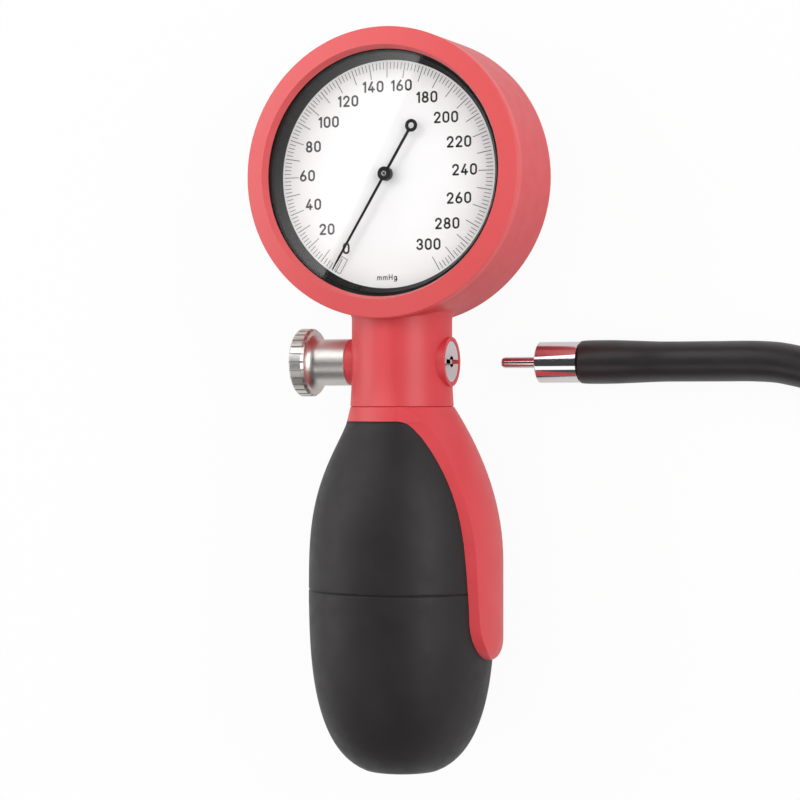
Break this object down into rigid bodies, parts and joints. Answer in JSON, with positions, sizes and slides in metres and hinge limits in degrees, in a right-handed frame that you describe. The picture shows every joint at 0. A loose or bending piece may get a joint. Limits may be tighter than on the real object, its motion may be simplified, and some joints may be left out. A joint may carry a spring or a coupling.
{
  "type": "aneroid sphygmomanometer",
  "caption": "Hand-held aneroid blood pressure gauge: round dial head with a neck, release valve, squeeze bulb and guard tongue, and its cuff hose unplugged.",
  "frame": {"origin": "centre of the rear cover's flat face, on the pointer's axis", "axes": "+Z out of the dial, +Y along the handle from the bulb to the head, +X to the hose socket and the guard's tongue"},
  "size_m": [0.2455, 0.1721, 0.0434],
  "materials": {
    "red_plastic": "smooth moulded, semi-gloss",
    "black_plastic": "gloss",
    "grey_plastic": "matt moulded",
    "clear_lens": "clear",
    "dial_white": "matt printed",
    "pointer_black": "matt",
    "brass": "machined",
    "capsule_bronze": "pressed",
    "steel": "turned",
    "spring_bronze": "drawn",
    "clear_tube": "translucent",
    "needle_plastic": "moulded",
    "disc_rubber": "moulded",
    "seal_rubber": "matt",
    "satin_chrome": "satin",
    "bright_chrome": "bright",
    "bulb_rubber": "satin moulded",
    "hose_rubber": "satin extruded"
  },
  "bodies": {
    "root": {"head_housing": "red_plastic", "lens_ring": "black_plastic", "lens_gasket": "seal_rubber", "lens": "clear_lens", "dial_plate": "dial_white", "hairspring": "spring_bronze", "hairspring_stud": "brass", "bridge_plate": "brass", "upper_pillars": "brass", "gear_plate": "brass", "lower_pillars": "brass", "plate_screws": "steel", "movement_base": "brass", "base_screws": "steel", "capsule_lower": "capsule_bronze", "capsule_mount": "brass", "gauge_tube": "clear_tube", "rear_cover": "red_plastic", "cover_gasket": "seal_rubber", "cover_screws": "steel", "valve_block": "grey_plastic", "outlet_valve_seat": "steel", "release_valve_body": "brass", "release_valve_ring": "seal_rubber", "hose_socket": "bright_chrome", "socket_ring": "seal_rubber", "guard": "red_plastic", "squeeze_bulb": "bulb_rubber", "inlet_valve_body": "bulb_rubber", "inlet_valve_cage": "steel", "plug_pin": "bright_chrome", "plug_collar": "bright_chrome", "plug_barb": "brass", "cuff_hose": "hose_rubber", "hose_coil": "hose_rubber", "cuff_connector": "bright_chrome"},
    "sector": {"sector_gear": "brass", "sector_arbor": "brass"},
    "pointer_shaft": {"pointer": "pointer_black", "pinion_arbor": "steel"},
    "rocker": {"rocking_shaft": "steel"},
    "capsule_top": {"push_pin": "steel", "capsule_upper": "capsule_bronze"},
    "needle": {"release_valve_needle": "needle_plastic"},
    "thumb_wheel": {"release_valve_knob": "satin_chrome", "release_valve_stem": "steel"},
    "outlet_disc": {"outlet_valve_disc": "disc_rubber"},
    "inlet_ball": {"inlet_valve_ball": "steel"}
  },
  "joints": [
    {"name": "sector_swing", "type": "hinge", "parent": "root", "child": "sector", "pos_m": [0.01908, 0.0053, 0.022], "axis": [0, 0, 1], "range_deg": [0, 30]},
    {"name": "pointer_turn", "type": "hinge", "parent": "root", "child": "pointer_shaft", "pos_m": [0, 0, 0.022], "axis": [0, 0, 1], "range_deg": [-300, 0]},
    {"name": "rocker_swing", "type": "hinge", "parent": "root", "child": "rocker", "pos_m": [0, 0.00395, 0.0163], "axis": [-1, 0, 0], "range_deg": [0, 16.6]},
    {"name": "capsule_rise", "type": "slide", "parent": "root", "child": "capsule_top", "axis": [0, 0, 1], "range_m": [0, 0.001], "stiffness_N_per_m": 500, "deforming": ["capsule_upper"]},
    {"name": "needle_travel", "type": "slide", "parent": "root", "child": "needle", "axis": [-1, 0, 0], "range_m": [0, 0.0007]},
    {"name": "knob_turn", "type": "hinge", "parent": "needle", "child": "thumb_wheel", "pos_m": [-0.015, -0.04285, 0.0217], "axis": [-1, 0, 0], "range_deg": [0, 360]},
    {"name": "outlet_disc_lift", "type": "slide", "parent": "root", "child": "outlet_disc", "axis": [0, 1, 0], "range_m": [0, 0.0008]},
    {"name": "inlet_ball_lift", "type": "slide", "parent": "root", "child": "inlet_ball", "axis": [0, 1, 0], "range_m": [0, 0.0015]}
  ],
  "couplings": [
    {"joint": "rocker_swing", "follows": "capsule_rise", "rad_per_m": 289.7},
    {"joint": "sector_swing", "follows": "capsule_rise", "rad_per_m": 523.5},
    {"joint": "pointer_turn", "follows": "capsule_rise", "rad_per_m": -5235},
    {"joint": "knob_turn", "follows": "needle_travel", "rad_per_m": 8975}
  ]
}
